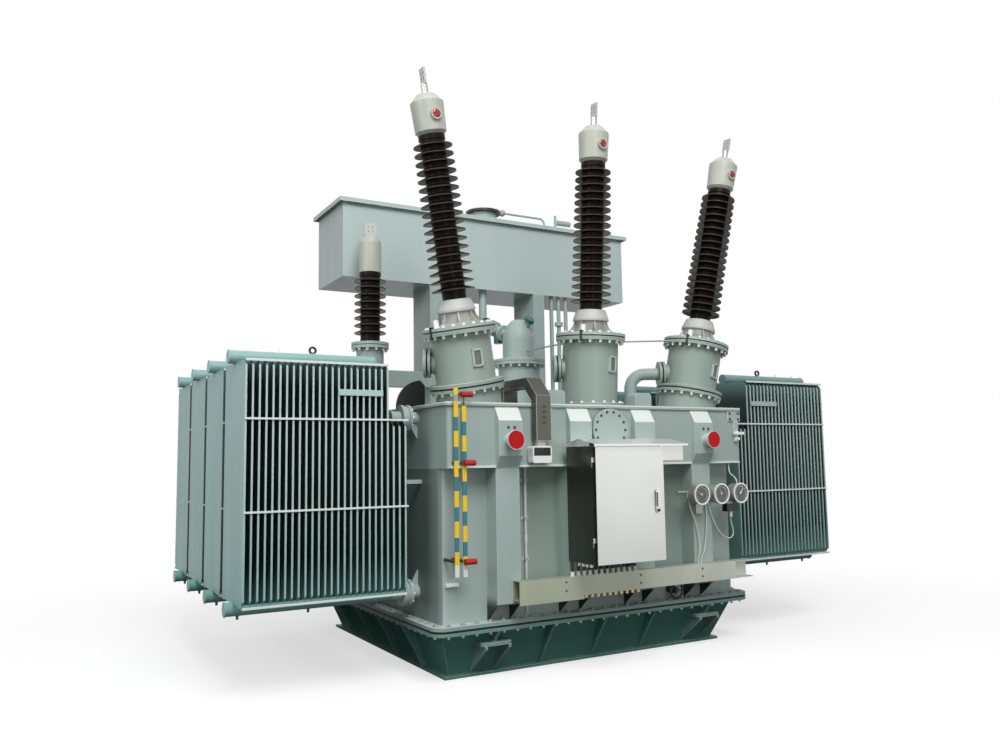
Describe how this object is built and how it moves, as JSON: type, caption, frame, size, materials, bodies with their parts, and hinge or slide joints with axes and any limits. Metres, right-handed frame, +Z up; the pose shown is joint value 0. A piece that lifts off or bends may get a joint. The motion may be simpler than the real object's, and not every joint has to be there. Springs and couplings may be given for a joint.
{
  "type": "power transformer",
  "caption": "Oil-filled power transformer: bell tank on a flanged tray, panel radiators at both ends, leaning brown bushings, a box conservator and a control cabinet with a hinged door.",
  "frame": {"origin": "middle of the base plate's underside", "axes": "+X along the front from left to right, +Y to the back, +Z up"},
  "size_m": [5.612, 3.461, 4.5153],
  "materials": {
    "bar_paint": "yellow and green bands",
    "bushing_cap": "off-white enamel with bare metal terminal",
    "cabinet_steel": "satin stainless sheet",
    "cast_skirt": "pale sand casting",
    "counter_case": "white case with a dark window",
    "duct_steel": "dull stainless sheet",
    "gasket_rubber": "matt black rubber",
    "gauge_metal": "satin aluminium bezel and white dial",
    "handle_metal": "satin chrome",
    "insulator_red": "moulded red resin",
    "lead_sheath": "pale sheathed leads",
    "porcelain": "gloss brown glaze",
    "radiator_paint": "satin grey-green paint on pressed panels",
    "tank_paint": "satin grey-green machine paint",
    "trough_steel": "galvanised sheet",
    "trunnion_red": "red enamel disc",
    "valve_paint": "teal and dark valve paint"
  },
  "bodies": {
    "transformer": {"back_stiffeners": "tank_paint", "bar_insulators": "insulator_red", "base_plate": "tank_paint", "cabinet_back": "cabinet_steel", "cabinet_ends": "cabinet_steel", "cabinet_roof": "cabinet_steel", "cabinet_side_box": "cabinet_steel", "cabinet_sides": "cabinet_steel", "cable_beam": "tank_paint", "cable_duct": "duct_steel", "cable_trough": "trough_steel", "conservator_box": "tank_paint", "conservator_legs": "tank_paint", "conservator_lid": "tank_paint", "dial_gauges": "gauge_metal", "earthing_bars": "bar_paint", "front_stiffeners": "tank_paint", "gauge_leads": "lead_sheath", "hv_cap_left": "bushing_cap", "hv_cap_middle": "bushing_cap", "hv_cap_right": "bushing_cap", "hv_porcelain_left": "porcelain", "hv_porcelain_middle": "porcelain", "hv_porcelain_right": "porcelain", "hv_skirt_left": "cast_skirt", "hv_skirt_middle": "cast_skirt", "hv_skirt_right": "cast_skirt", "hv_turret_left": "tank_paint", "hv_turret_middle": "tank_paint", "hv_turret_right": "tank_paint", "jacking_pads": "tank_paint", "manhole_cover": "tank_paint", "neutral_cap": "bushing_cap", "neutral_neck": "tank_paint", "neutral_porcelain": "porcelain", "oil_pipes": "tank_paint", "radiator_joints": "tank_paint", "radiator_left_1": "radiator_paint", "radiator_left_2": "radiator_paint", "radiator_left_3": "radiator_paint", "radiator_left_4": "radiator_paint", "radiator_right_1": "radiator_paint", "radiator_right_2": "radiator_paint", "radiator_right_3": "radiator_paint", "radiator_right_4": "radiator_paint", "surge_counter": "counter_case", "tank_belt": "tank_paint", "tank_cover": "tank_paint", "tank_flange": "tank_paint", "tank_gasket": "gasket_rubber", "tank_walls": "tank_paint", "tap_changer_head": "tank_paint", "top_fittings": "tank_paint", "tray": "tank_paint", "tray_ribs": "tank_paint", "trunnions": "trunnion_red", "valves": "valve_paint"},
    "door": {"cabinet_door": "cabinet_steel", "door_handle": "handle_metal"}
  },
  "joints": [
    {"name": "door_hinge", "type": "hinge", "parent": "transformer", "child": "door", "pos_m": [-0.464, -1.87, 0.815], "axis": [0, 0, -1], "range_deg": [0, 120]}
  ]
}
